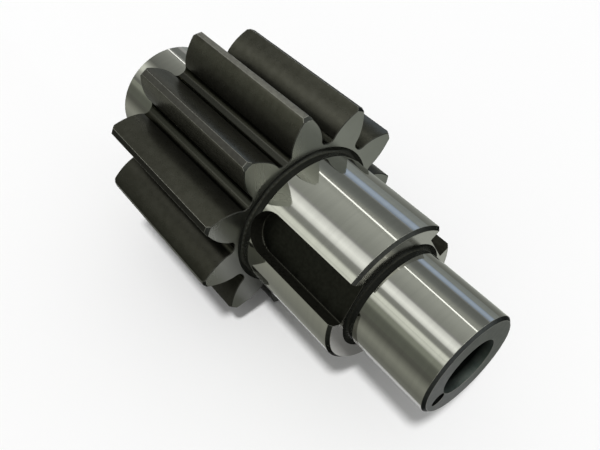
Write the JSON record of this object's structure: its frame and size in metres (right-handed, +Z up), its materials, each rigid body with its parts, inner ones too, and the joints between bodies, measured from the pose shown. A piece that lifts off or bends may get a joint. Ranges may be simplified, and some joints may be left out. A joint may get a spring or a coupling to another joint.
{
  "type": "pinion gear",
  "caption": "Steel pinion shaft with an integral spur gear, a hub seat with keyways, a ground journal at each end and a bore in the front end face.",
  "frame": {"origin": "on the shaft's axis, in the middle of the gear's face width", "axes": "+X along the shaft towards the end with the bore, +Z up through the middle of a tooth"},
  "size_m": [0.381, 0.195, 0.193],
  "materials": {
    "machined_steel": "ground journals, dark milled teeth and keyways"
  },
  "bodies": {
    "root": {"pinion_shaft": "machined_steel"}
  },
  "joints": []
}
